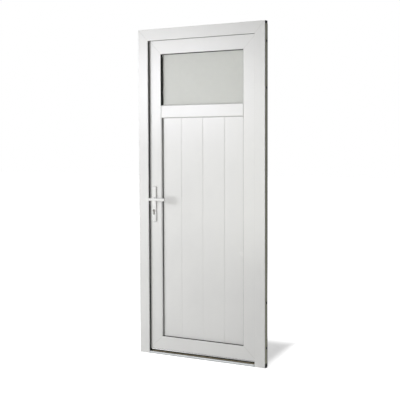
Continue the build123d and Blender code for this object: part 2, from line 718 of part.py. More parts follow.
def faceplate():
    """Lock faceplate with rounded ends and a window for each bolt."""
    bottom = LEAF_BOTTOM + FACEPLATE_FROM_BOTTOM
    top = LEAF_TOP - FACEPLATE_FROM_TOP
    centre = Pos(LOCK_DEPTH, (bottom + top) / 2)
    outline = centre * SlotOverall(top - bottom, FACEPLATE_WIDTH, rotation=90)
    for height, size in lock_points():
        window = Rectangle(BOLT_WIDTH + 2 * SEAT_CLEARANCE, size + 2 * SEAT_CLEARANCE)
        outline -= Pos(LOCK_DEPTH, height) * window
    return edge_plate(outline, FACEPLATE_THICKNESS - HALF_LEAF, -HALF_LEAF)


def keeper(points):
    """Keeper plate on the jamb with a hole for each of its bolts."""
    low = min(height - size / 2 for height, size in points) - KEEPER_MARGIN
    high = max(height + size / 2 for height, size in points) + KEEPER_MARGIN
    outline = Pos(LOCK_DEPTH, (low + high) / 2) * RectangleRounded(KEEPER_WIDTH, high - low, KEEPER_CORNER)
    for height, size in points:
        hole = Rectangle(BOLT_WIDTH + 2 * KEEPER_HOLE_MARGIN, size + 2 * KEEPER_HOLE_MARGIN)
        outline -= Pos(LOCK_DEPTH, height) * hole
    return edge_plate(outline, KEEPER_THICKNESS - HALF_REBATE, -HALF_REBATE)


def build_lock_edge():
    """Faceplate in the leaf's edge channel with its bolts drawn in, and the keepers in the jamb."""
    bolts = Part()
    for height, size in lock_points():
        outline = Pos(LOCK_DEPTH, height) * Rectangle(BOLT_WIDTH, size)
        bolts += edge_plate(outline, EDGE_CHANNEL_DEPTH - HALF_LEAF, -HALF_LEAF)
    latch, deadbolt, upper_hook, lower_hook = lock_points()
    keepers = keeper([latch, deadbolt]) + keeper([upper_hook]) + keeper([lower_hook])
    return {"lock_faceplate": faceplate(), "lock_bolts": bolts, "lock_keepers": keepers}


def knuckle(low, high, radius):
    """Upright round piece on the hinge axis between two heights."""
    return Pos(HINGE_X, HINGE_Y, (low + high) / 2) * Cylinder(radius, high - low)


def hinge_plate(low_x, high_x, height, front, back):
    """Plate of one hinge with rounded corners, flat on the door."""
    outline = RectangleRounded(high_x - low_x, HINGE_LENGTH, HINGE_CORNER)
    return through_door(Pos((low_x + high_x) / 2, height) * outline, front, back)


def hinge_bracket(height):
    """Frame half of a hinge: a base plate with an arm and a knuckle at each end."""
    low, high = height - HINGE_LENGTH / 2, height + HINGE_LENGTH / 2
    third = HINGE_LENGTH / 3
    base_x = HALF_LEAF + OVERLAP + MOVING_GAP
    base_back = BACK + HINGE_BASE_THICKNESS
    bracket = hinge_plate(base_x, base_x + HINGE_BASE_WIDTH, height, BACK, base_back)
    for end_low, end_high in ((low, low + third), (high - third, high)):
        bracket += knuckle(end_low, end_high, KNUCKLE_RADIUS)
        bracket += box_between((base_x, BACK, end_low), (HINGE_X + KNUCKLE_RADIUS, HINGE_Y, end_high))
    return bracket - knuckle(low - OVERCUT, high + OVERCUT, PIN_RADIUS + RUNNING_CLEARANCE)


def hinge_wing(height):
    """Leaf half of a hinge: a screwed plate with one knuckle between the bracket's two."""
    low, high = height - HINGE_LENGTH / 2, height + HINGE_LENGTH / 2
    half_knuckle = HINGE_LENGTH / 6 - KNUCKLE_GAP
    knuckle_low, knuckle_high = height - half_knuckle, height + half_knuckle
    edge = HALF_LEAF + OVERLAP - BACK_ROUND
    inner_edge = edge - HINGE_WING_WIDTH
    plate_back = LEAF_BACK + HINGE_WING_THICKNESS
    wing = hinge_plate(inner_edge, edge, height, LEAF_BACK, plate_back)
    wing += knuckle(knuckle_low, knuckle_high, KNUCKLE_RADIUS)
    wing += box_between(
        (edge - HINGE_WEB_THICKNESS, LEAF_BACK, knuckle_low),
        (HINGE_X, LEAF_BACK + HINGE_WEB_THICKNESS, knuckle_high),
    )
    return wing - knuckle(low - OVERCUT, high + OVERCUT, PIN_RADIUS + RUNNING_CLEARANCE)


def hinge_pin(height):
    """Pin of one hinge, dropped in from above and held by its cap."""
    low, high = height - HINGE_LENGTH / 2, height + HINGE_LENGTH / 2
    return knuckle(low, high, PIN_RADIUS) + knuckle(high, high + PIN_CAP_HEIGHT, PIN_CAP_RADIUS)


def build_hinges():
    """Three hinges on the room side, with their pins together."""
    nodes = {}
    pins = Part()
    for name, height in HINGE_HEIGHTS.items():
        nodes[f"{name}_hinge_bracket"] = hinge_bracket(height)
        nodes[f"{name}_hinge_wing"] = hinge_wing(height)
        pins += hinge_pin(height)
    nodes["hinge_pins"] = pins
    return nodes


def build_door():
    """Every piece of the door by its name."""
    nodes = {}
    for group in (
        build_frame(),
        build_threshold(),
        build_leaf(),
        build_light(),
        build_panel(),
        build_handles(),
        build_lock_edge(),
        build_hinges(),
    ):
        nodes.update(group)
    return nodes


os.makedirs("parts", exist_ok=True)
for node_name, solid in build_door().items():
    export_step(solid, f"parts/{node_name}.step")
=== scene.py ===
"""Looks of a white plastic back door: its finishes, its screws and the studio round it."""
import logging
import math
from dataclasses import dataclass, field
from enum import Enum
from functools import reduce

import bpy
from bpy.types import Material, Node, NodeSocket, NodeTree, Object
from mathutils import Matrix, Vector


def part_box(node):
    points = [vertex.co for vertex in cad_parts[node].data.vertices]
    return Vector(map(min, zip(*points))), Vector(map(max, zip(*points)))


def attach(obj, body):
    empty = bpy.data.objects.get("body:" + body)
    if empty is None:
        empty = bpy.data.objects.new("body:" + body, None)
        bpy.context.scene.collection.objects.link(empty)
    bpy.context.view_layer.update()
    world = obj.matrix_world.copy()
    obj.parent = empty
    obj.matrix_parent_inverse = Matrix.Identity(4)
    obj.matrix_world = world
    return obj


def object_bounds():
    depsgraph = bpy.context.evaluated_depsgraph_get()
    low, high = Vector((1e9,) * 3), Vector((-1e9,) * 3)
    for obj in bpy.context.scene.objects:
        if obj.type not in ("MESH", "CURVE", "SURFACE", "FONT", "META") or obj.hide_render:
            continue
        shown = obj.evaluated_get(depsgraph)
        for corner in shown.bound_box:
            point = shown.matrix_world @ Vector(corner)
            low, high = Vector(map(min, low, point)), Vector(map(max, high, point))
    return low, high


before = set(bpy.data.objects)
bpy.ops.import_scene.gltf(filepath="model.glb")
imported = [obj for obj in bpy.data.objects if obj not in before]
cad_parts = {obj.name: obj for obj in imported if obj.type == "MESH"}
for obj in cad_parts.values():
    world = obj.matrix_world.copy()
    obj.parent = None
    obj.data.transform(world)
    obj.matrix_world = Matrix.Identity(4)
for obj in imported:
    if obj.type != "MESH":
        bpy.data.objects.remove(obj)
CAD_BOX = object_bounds()

LOG = logging.getLogger("back_door")

Pair = tuple[float, float]
Triple = tuple[float, float, float]
Colour = Triple
Place = tuple[Vector, Vector]


class Run(Enum):
    """Way that an extruded bar runs, as the stretch of its fine die lines."""

    UPRIGHT = (1.0, 1.0, 0.015)
    LEVEL = (0.015, 1.0, 1.0)


class Socket(Enum):
    """Kinds of group socket."""

    VALUE = "NodeSocketFloat"
    VECTOR = "NodeSocketVector"
    SHAPE = "NodeSocketGeometry"
    FINISH = "NodeSocketMaterial"


class Tree:
    """Thin wrapper that adds and links nodes of one node tree."""

    def __init__(self, tree: NodeTree) -> None:
        """Keep the tree to work on."""
        self.tree = tree

    def add(self, kind: str, settings: dict | None = None, values: dict | None = None) -> Node:
        """Add one node.

        Args:
            kind: Blender's name of the node's type.
            settings: attributes of the node, by name.
            values: unlinked input values, by socket name or index.

        Returns:
            The new node.
        """
        node = self.tree.nodes.new(kind)
        for key, value in (settings or {}).items():
            setattr(node, key, value)
        for key, value in (values or {}).items():
            node.inputs[key].default_value = value
        return node

    def join(self, source: NodeSocket, target: NodeSocket) -> None:
        """Link an output to an input."""
        self.tree.links.new(source, target)

    def math(self, operation: str, first: object, second: object = 0.0) -> NodeSocket:
        """Add a Math node.

        Args:
            operation: the node's operation.
            first: a socket or a number.
            second: a socket or a number.

        Returns:
            The node's output.
        """
        node = self.add("ShaderNodeMath", {"operation": operation})
        for index, value in enumerate((first, second)):
            if isinstance(value, NodeSocket):
                self.join(value, node.inputs[index])
            else:
                node.inputs[index].default_value = value
        return node.outputs[0]

    def blend(self, factor: NodeSocket, low: object, high: object) -> NodeSocket:
        """Mix two colours.

        Args:
            factor: mask between the two.
            low: colour or socket at 0.
            high: colour or socket at 1.

        Returns:
            The mixed colour.
        """
        node = self.add("ShaderNodeMix", {"data_type": "RGBA"})
        self.join(factor, node.inputs[0])
        for socket, value in ((node.inputs[6], low), (node.inputs[7], high)):
            if isinstance(value, NodeSocket):
                self.join(value, socket)
            else:
                socket.default_value = (*value, 1.0)
        return node.outputs[2]

    def remap(self, value: NodeSocket, low: float, high: float) -> NodeSocket:
        """Spread a 0 to 1 value over another range.

        Args:
            value: the value to spread.
            low: result at 0.
            high: result at 1.

        Returns:
            The new value.
        """
        node = self.add("ShaderNodeMapRange", values={"To Min": low, "To Max": high})
        self.join(value, node.inputs[0])
        return node.outputs[0]


class Effect:
    """A shader node group that several finishes share."""

    def __init__(self, name: str, inputs: list[tuple[str, Socket, object]], outputs: list[str]) -> None:
        """Make the empty group with its sockets.

        Args:
            name: the group's name.
            inputs: name, kind and default of each input.
            outputs: names of the value outputs.
        """
        self.group = bpy.data.node_groups.new(name, "ShaderNodeTree")
        for label, kind, default in inputs:
            socket = self.group.interface.new_socket(label, in_out="INPUT", socket_type=kind.value)
            socket.default_value = default
        for label in outputs:
            self.group.interface.new_socket(label, in_out="OUTPUT", socket_type=Socket.VALUE.value)
        self.inside = Tree(self.group)
        self.entry = self.inside.add("NodeGroupInput")
        self.exit = self.inside.add("NodeGroupOutput")

    def coordinates(self) -> NodeSocket:
        """Give the object coordinates inside the group."""
        return self.inside.add("ShaderNodeTexCoord").outputs["Object"]

    def axes(self) -> tuple[NodeSocket, ...]:
        """Split the object coordinates inside the group.

        Returns:
            The way across the door, the depth and the height.
        """
        split = self.inside.add("ShaderNodeSeparateXYZ")
        self.inside.join(self.coordinates(), split.inputs[0])
        return tuple(split.outputs)

    def place(self, tree: Tree, values: dict) -> Node:
        """Put the group in a material.

        Args:
            tree: the material's tree.
            values: the group's input values, by name.

        Returns:
            The group node.
        """
        node = tree.add("ShaderNodeGroup", {"node_tree": self.group})
        for key, value in values.items():
            node.inputs[key].default_value = value
        return node


def die_lines_effect() -> Effect:
    """Fine lines along an extruded bar, as a height.

    Returns:
        The effect, with the inputs Stretch and Density and the output Height.
    """
    effect = Effect(
        "Die lines",
        [("Stretch", Socket.VECTOR, (1.0, 1.0, 1.0)), ("Density", Socket.VALUE, 500.0)],
        ["Height"],
    )
    inside = effect.inside
    stretch = inside.add("ShaderNodeVectorMath", {"operation": "MULTIPLY"})
    inside.join(effect.coordinates(), stretch.inputs[0])
    inside.join(effect.entry.outputs["Stretch"], stretch.inputs[1])
    noise = inside.add("ShaderNodeTexNoise", values={"Detail": 2.0, "Roughness": 0.6})
    inside.join(stretch.outputs[0], noise.inputs["Vector"])
    inside.join(effect.entry.outputs["Density"], noise.inputs["Scale"])
    inside.join(noise.outputs["Fac"], effect.exit.inputs["Height"])
    return effect


def soft_mottle_effect() -> Effect:
    """Slow uneven tone of a large surface.

    Returns:
        The effect, with the inputs Scale and Detail and the output Tone from 0 to 1.
    """
    effect = Effect(
        "Soft mottle",
        [("Scale", Socket.VALUE, 6.0), ("Detail", Socket.VALUE, 3.0)],
        ["Tone"],
    )
    inside = effect.inside
    noise = inside.add("ShaderNodeTexNoise", values={"Roughness": 0.55})
    inside.join(effect.coordinates(), noise.inputs["Vector"])
    inside.join(effect.entry.outputs["Scale"], noise.inputs["Scale"])
    inside.join(effect.entry.outputs["Detail"], noise.inputs["Detail"])
    spread = inside.add("ShaderNodeMapRange", values={"From Min": 0.3, "From Max": 0.7})
    inside.join(noise.outputs["Fac"], spread.inputs[0])
    inside.join(spread.outputs[0], effect.exit.inputs["Tone"])
    return effect


def wall_side_effect(half_width: float, height: float, step: float, step_depth: float) -> Effect:
    """Mask of the frame's faces that go against the wall, where painted shade goes.

    Args:
        half_width: half the frame's width.
        height: the frame's height.
        step: how far the back part is set in from the wall side.
        step_depth: depth where the back part starts.

    Returns:
        The effect, with the input Margin and the output Mask.
    """
    effect = Effect("Wall side", [("Margin", Socket.VALUE, 0.0004)], ["Mask"])
    inside = effect.inside
    across, depth, up = effect.axes()
    margin = effect.entry.outputs["Margin"]
    from_side = inside.math("SUBTRACT", half_width, inside.math("ABSOLUTE", across))
    from_top = inside.math("SUBTRACT", height, up)
    edge = inside.math("MINIMUM", from_side, from_top)
    outer = inside.math("LESS_THAN", edge, margin)
    set_in = inside.math("LESS_THAN", edge, inside.math("ADD", margin, step))
    behind = inside.math("GREATER_THAN", inside.math("ADD", depth, margin), step_depth)
    mask = inside.math("MAXIMUM", outer, inside.math("MULTIPLY", set_in, behind))
    inside.join(mask, effect.exit.inputs["Mask"])
    return effect


def past_depth_effect() -> Effect:
    """Mask of what lies further into the door than a depth.

    Returns:
        The effect, with the input Depth and the output Mask.
    """
    effect = Effect("Past depth", [("Depth", Socket.VALUE, 0.0)], ["Mask"])
    _, depth, _ = effect.axes()
    past = effect.inside.math("GREATER_THAN", depth, effect.entry.outputs["Depth"])
    effect.inside.join(past, effect.exit.inputs["Mask"])
    return effect


def zone_effect() -> Effect:
    """Mask of a box-shaped zone of the door, from a depth inwards.

    Returns:
        The effect, with the inputs Half Width, Low, High, Depth and Margin and the output Mask.
    """
    names = ("Half Width", "Low", "High", "Depth", "Margin")
    effect = Effect("Zone", [(name, Socket.VALUE, 0.0) for name in names], ["Mask"])
    inside = effect.inside
    half, low, high, start, margin = (effect.entry.outputs[name] for name in names)
    across, depth, up = effect.axes()
    outside = inside.math("SUBTRACT", inside.math("ABSOLUTE", across), half)
    above = inside.math("SUBTRACT", up, high)
    below = inside.math("SUBTRACT", low, up)
    away = inside.math("MAXIMUM", outside, inside.math("MAXIMUM", above, below))
    mask = inside.math("LESS_THAN", away, margin)
    deep = inside.math("GREATER_THAN", depth, start)
    inside.join(inside.math("MULTIPLY", mask, deep), effect.exit.inputs["Mask"])
    return effect


def weld_effect() -> Effect:
    """Mask of the fine line where two profiles are welded at a corner.

    Returns:
        The effect, with the inputs Corner X, Corner Z, Slope, Reach and Half Width and the output Mask.
    """
    names = ("Corner X", "Corner Z", "Slope", "Reach", "Half Width")
    effect = Effect("Weld", [(name, Socket.VALUE, 0.0) for name in names], ["Mask"])
    inside = effect.inside
    corner_x, corner_z, slope, reach, half_width = (effect.entry.outputs[name] for name in names)
    across, _, up = effect.axes()
    run = inside.math("SUBTRACT", inside.math("ABSOLUTE", across), corner_x)
    rise = inside.math("SUBTRACT", up, corner_z)
    off = inside.math("ABSOLUTE", inside.math("SUBTRACT", rise, inside.math("MULTIPLY", run, slope)))
    near = inside.math("LESS_THAN", inside.math("ABSOLUTE", rise), reach)
    mask = inside.math("MULTIPLY", inside.math("LESS_THAN", off, half_width), near)
    inside.join(mask, effect.exit.inputs["Mask"])
    return effect


def bore_shade_effect(middle: float, depth: float, offsets: tuple[float, ...], radius: float) -> Effect:
    """Mask of painted shade at the jambs' fixing holes: a black disc, wider than each hole, for the shade in
    it and round its rim.

    Args:
        middle: height of the frame's middle, about which the holes are mirrored.
        depth: depth of the holes' axes.
        offsets: distances of the holes from the middle.
        radius: radius within which the mask is set.

    Returns:
        The effect, with the output Mask.
    """
    effect = Effect("Painted bore shade", [], ["Mask"])
    inside = effect.inside
    _, deep, up = effect.axes()
    aside = inside.math("SUBTRACT", deep, depth)
    from_middle = inside.math("ABSOLUTE", inside.math("SUBTRACT", up, middle))
    away = [inside.math("ABSOLUTE", inside.math("SUBTRACT", from_middle, offset)) for offset in offsets]
    nearest = reduce(lambda first, second: inside.math("MINIMUM", first, second), away)
    squares = [inside.math("MULTIPLY", side, side) for side in (aside, nearest)]
    bore = inside.math("LESS_THAN", inside.math("ADD", *squares), radius * radius)
    inside.join(bore, effect.exit.inputs["Mask"])
    return effect


@dataclass(frozen=True)
class Effects:
    """The shared effects, built once."""

    lines: Effect
    mottle: Effect
    wall_side: Effect
    past_depth: Effect
    zone: Effect
    weld: Effect
    bore_shade: Effect

    def tone(self, tree: Tree, scale: float, detail: float) -> NodeSocket:
        """Put the slow uneven tone in a material.

        Args:
            tree: the material's tree.
            scale: scale of the tone.
            detail: how fine it gets.

        Returns:
            The tone, from 0 to 1.
        """
        return self.mottle.place(tree, {"Scale": scale, "Detail": detail}).outputs["Tone"]


@dataclass(frozen=True)
class Zone:
    """Box-shaped zone of the door, and the depth from which it counts."""

    half_width: float
    low: float
    high: float
    depth: float
    margin: float = 0.0004

    def mask(self, effects: Effects, tree: Tree) -> NodeSocket:
        """Put the zone's mask in a material.

        Args:
            effects: the shared effects.
            tree: the material's tree.

        Returns:
            The mask.
        """
        values = {
            "Half Width": self.half_width,
            "Low": self.low,
            "High": self.high,
            "Depth": self.depth,
            "Margin": self.margin,
        }
        return effects.zone.place(tree, values).outputs["Mask"]


@dataclass(frozen=True)
class Weld:
    """Weld line from an outer corner to an inner corner, on both sides of the door."""

    outer: Pair
    inner: Pair
    half_width: float = 0.0009

    def mask(self, effects: Effects, tree: Tree) -> NodeSocket:
        """Put the line's mask in a material.

        Args:
            effects: the shared effects.
            tree: the material's tree.

        Returns:
            The mask.
        """
        rise = self.outer[1] - self.inner[1]
        values = {
            "Corner X": self.outer[0],
            "Corner Z": self.outer[1],
            "Slope": rise / (self.outer[0] - self.inner[0]),
            "Reach": abs(rise),
            "Half Width": self.half_width,
        }
        return effects.weld.place(tree, values).outputs["Mask"]


def new_material(name: str) -> tuple[Material, Tree, Node]:
    """Start a node material.

    Args:
        name: the material's name.

    Returns:
        The material, its tree and its Principled shader.
    """
    material = bpy.data.materials.new(name)
    material.use_nodes = True
    tree = Tree(material.node_tree)
    return material, tree, material.node_tree.nodes["Principled BSDF"]


@dataclass(frozen=True)
class Relief:
    """Fine relief of a finish: how much of it shows, and its height in metres."""

    strength: float
    depth: float

    def add(self, tree: Tree, shader: Node, height: NodeSocket) -> None:
        """Turn a height into the shader's normal.

        Args:
            tree: the material's tree.
            shader: the Principled shader.
            height: the height to use.
        """
        bump = tree.add("ShaderNodeBump", values={"Strength": self.strength, "Distance": self.depth})
        tree.join(height, bump.inputs["Height"])
        tree.join(bump.outputs[0], shader.inputs["Normal"])


@dataclass(frozen=True)
class PlasticFinish:
    """Satin white extruded plastic with faint die lines along the bar."""

    name: str
    run: Run
    light: Colour = (0.86, 0.86, 0.85)
    shade: Colour = (0.83, 0.83, 0.825)
    # Painted shade on the frame's wall side: two dark olive-grey colours, the darker past a depth, and black
    # at the faces' ends.
    wall_side_shade: tuple[Colour, Colour] | None = None
    darker_shade_depth: float = 0.0
    shaded_ends: tuple[Zone, ...] = ()
    # Black painted shade in the gaps round the openings, drawn as the edges of black seals.
    seals_and_shade: tuple[Zone, ...] = ()
    welds: tuple[Weld, ...] = ()
    black: Colour = (0.012, 0.012, 0.012)
    weld_grey: Colour = (0.66, 0.66, 0.64)
    matt: float = 0.95
    roughness: Pair = (0.18, 0.26)
    mottle: Pair = (4.0, 3.0)
    line_density: float = 420.0
    relief: Relief = Relief(0.12, 0.0004)

    def material(self, effects: Effects) -> Material:
        """Build the material.

        Args:
            effects: the shared effects.

        Returns:
            The finished material.
        """
        material, tree, shader = new_material(self.name)
        tone = effects.tone(tree, *self.mottle)
        colour = tree.blend(tone, self.shade, self.light)
        # Painted shade: black on the returns and bevels in the gaps, drawn as black seal edges.
        dark = [seal_and_shade_zone.mask(effects, tree) for seal_and_shade_zone in self.seals_and_shade]
        # Painted shade: the wall-side faces turn dark olive-grey, darker past a depth; their ends and the
        # fixing holes turn black.
        if self.wall_side_shade:
            deep = effects.past_depth.place(tree, {"Depth": self.darker_shade_depth}).outputs["Mask"]
            wall_side = effects.wall_side.place(tree, {}).outputs["Mask"]
            colour = tree.blend(wall_side, colour, tree.blend(deep, *self.wall_side_shade))
            dark += [tree.math("MULTIPLY", wall_side, end.mask(effects, tree)) for end in self.shaded_ends]
            dark.append(effects.bore_shade.place(tree, {}).outputs["Mask"])
        for weld in self.welds:
            colour = tree.blend(weld.mask(effects, tree), colour, self.weld_grey)
        for mask in dark:
            colour = tree.blend(mask, colour, self.black)
        roughness = tree.remap(tone, *self.roughness)
        if dark:
            matt = reduce(lambda first, second: tree.math("MAXIMUM", first, second), dark)
            roughness = tree.math("MAXIMUM", roughness, tree.math("MULTIPLY", matt, self.matt))
        tree.join(colour, shader.inputs["Base Color"])
        tree.join(roughness, shader.inputs["Roughness"])
        lines = effects.lines.place(tree, {"Stretch": self.run.value, "Density": self.line_density})
        self.relief.add(tree, shader, lines.outputs["Height"])
        return material


@dataclass(frozen=True)
class EnamelFinish:
    """White powder coat with a fine orange peel."""

    name: str
    light: Colour = (0.88, 0.88, 0.87)
    shade: Colour = (0.84, 0.84, 0.83)
    roughness: Pair = (0.18, 0.28)
    mottle: Pair = (25.0, 2.0)
    peel: Pair = (700.0, 1.0)
    relief: Relief = Relief(0.15, 0.0002)
    coat: float = 0.3

    def material(self, effects: Effects) -> Material:
        """Build the material.

        Args:
            effects: the shared effects.

        Returns:
            The finished material.
        """
        material, tree, shader = new_material(self.name)
        tone = effects.tone(tree, *self.mottle)
        tree.join(tree.blend(tone, self.shade, self.light), shader.inputs["Base Color"])
        tree.join(tree.remap(tone, *self.roughness), shader.inputs["Roughness"])
        self.relief.add(tree, shader, effects.tone(tree, *self.peel))
        shader.inputs["Coat Weight"].default_value = self.coat
        return material


@dataclass(frozen=True)
class RubberFinish:
    """Matt black rubber with a slight bloom."""

    name: str
    light: Colour = (0.032, 0.032, 0.033)
    shade: Colour = (0.014, 0.014, 0.015)
    roughness: Pair = (0.5, 0.68)
    gloss: float = 0.12
    mottle: Pair = (60.0, 4.0)
    grain: Pair = (1500.0, 1.0)
    relief: Relief = Relief(0.2, 0.0002)

    def material(self, effects: Effects) -> Material:
        """Build the material.

        Args:
            effects: the shared effects.

        Returns:
            The finished material.
        """
        material, tree, shader = new_material(self.name)
        tone = effects.tone(tree, *self.mottle)
        tree.join(tree.blend(tone, self.shade, self.light), shader.inputs["Base Color"])
        tree.join(tree.remap(tone, *self.roughness), shader.inputs["Roughness"])
        shader.inputs["Specular IOR Level"].default_value = self.gloss
        self.relief.add(tree, shader, effects.tone(tree, *self.grain))
        return material


@dataclass(frozen=True)
class GlassFinish:
    """Pane of glass, clear or obscured by a pressed texture."""

    name: str
    tint: Colour
    roughness: Pair
    transmission: float
    texture_scale: float = 0.0
    unevenness: float = 0.97
    mottle: Pair = (30.0, 3.0)
    relief: Relief = Relief(0.35, 0.001)
    refraction: float = 1.5

    def material(self, effects: Effects) -> Material:
        """Build the material.

        Args:
            effects: the shared effects.

        Returns:
            The finished material.
        """
        material, tree, shader = new_material(self.name)
        tone = effects.tone(tree, *self.mottle)
        darker = tuple(self.unevenness * channel for channel in self.tint)
        tree.join(tree.blend(tone, darker, self.tint), shader.inputs["Base Color"])
        tree.join(tree.remap(tone, *self.roughness), shader.inputs["Roughness"])
        shader.inputs["Transmission Weight"].default_value = self.transmission
        shader.inputs["IOR"].default_value = self.refraction
        if self.texture_scale:
            cells = tree.add("ShaderNodeTexVoronoi", {"feature": "SMOOTH_F1"}, {"Scale": self.texture_scale})
            tree.join(tree.add("ShaderNodeTexCoord").outputs["Object"], cells.inputs["Vector"])
            self.relief.add(tree, shader, cells.outputs["Distance"])
        return material


@dataclass(frozen=True)
class MetalFinish:
    """Bare or plated metal with a drawn grain along one way."""

    name: str
    light: Colour
    shade: Colour
    roughness: Pair
    stretch: Triple = (0.02, 1.0, 1.0)
    grain_density: float = 900.0
    grain_share: float = 0.6
    wear: float = 0.62
    mottle: Pair = (40.0, 4.0)
    relief: Relief = Relief(0.15, 0.0003)
    # Colour painted between two depths, used as painted shade.
    painted_shade: Colour | None = None
    painted_shade_depths: Pair = (0.0, 1.0)

    def material(self, effects: Effects) -> Material:
        """Build the material.

        Args:
            effects: the shared effects.

        Returns:
            The finished material.
        """
        material, tree, shader = new_material(self.name)
        grain = effects.lines.place(tree, {"Stretch": self.stretch, "Density": self.grain_density})
        height = grain.outputs["Height"]
        mixed = tree.math("MULTIPLY_ADD", height, self.grain_share)
        tree.join(effects.tone(tree, *self.mottle), mixed.node.inputs[2])
        worn = tree.math("MULTIPLY", mixed, self.wear)
        colour = tree.blend(worn, self.shade, self.light)
        # Painted shade: what lies between the two depths gets the shade colour.
        if self.painted_shade:
            start, end = (
                effects.past_depth.place(tree, {"Depth": depth}).outputs["Mask"] for depth in self.painted_shade_depths
            )
            colour = tree.blend(tree.math("SUBTRACT", start, end), colour, self.painted_shade)
        tree.join(colour, shader.inputs["Base Color"])
        tree.join(tree.remap(worn, *self.roughness), shader.inputs["Roughness"])
        shader.inputs["Metallic"].default_value = 1.0
        self.relief.add(tree, shader, height)
        return material


def dress(nodes: list[str], material: Material) -> None:
    """Give CAD nodes a finish.

    Args:
        nodes: names of the nodes.
        material: the finish.
    """
    for name in nodes:
        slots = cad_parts[name].data.materials
        slots.clear()
        slots.append(material)
        LOG.info("dressed %s with %s", name, material.name)


def upright_spans(name: str, gap: float) -> list[Pair]:
    """Find the separate plates of a node that stand above each other.

    Args:
        name: the node's name.
        gap: least clear height between two plates.

    Returns:
        Bottom and top of each plate, from the lowest up.
    """
    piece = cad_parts[name]
    heights = sorted((piece.matrix_world @ corner.co).z for corner in piece.data.vertices)
    spans = [[heights[0], heights[0]]]
    for height in heights:
        if height - spans[-1][1] > gap:
            spans.append([height, height])
        spans[-1][1] = height
    return [(bottom, top) for bottom, top in spans]


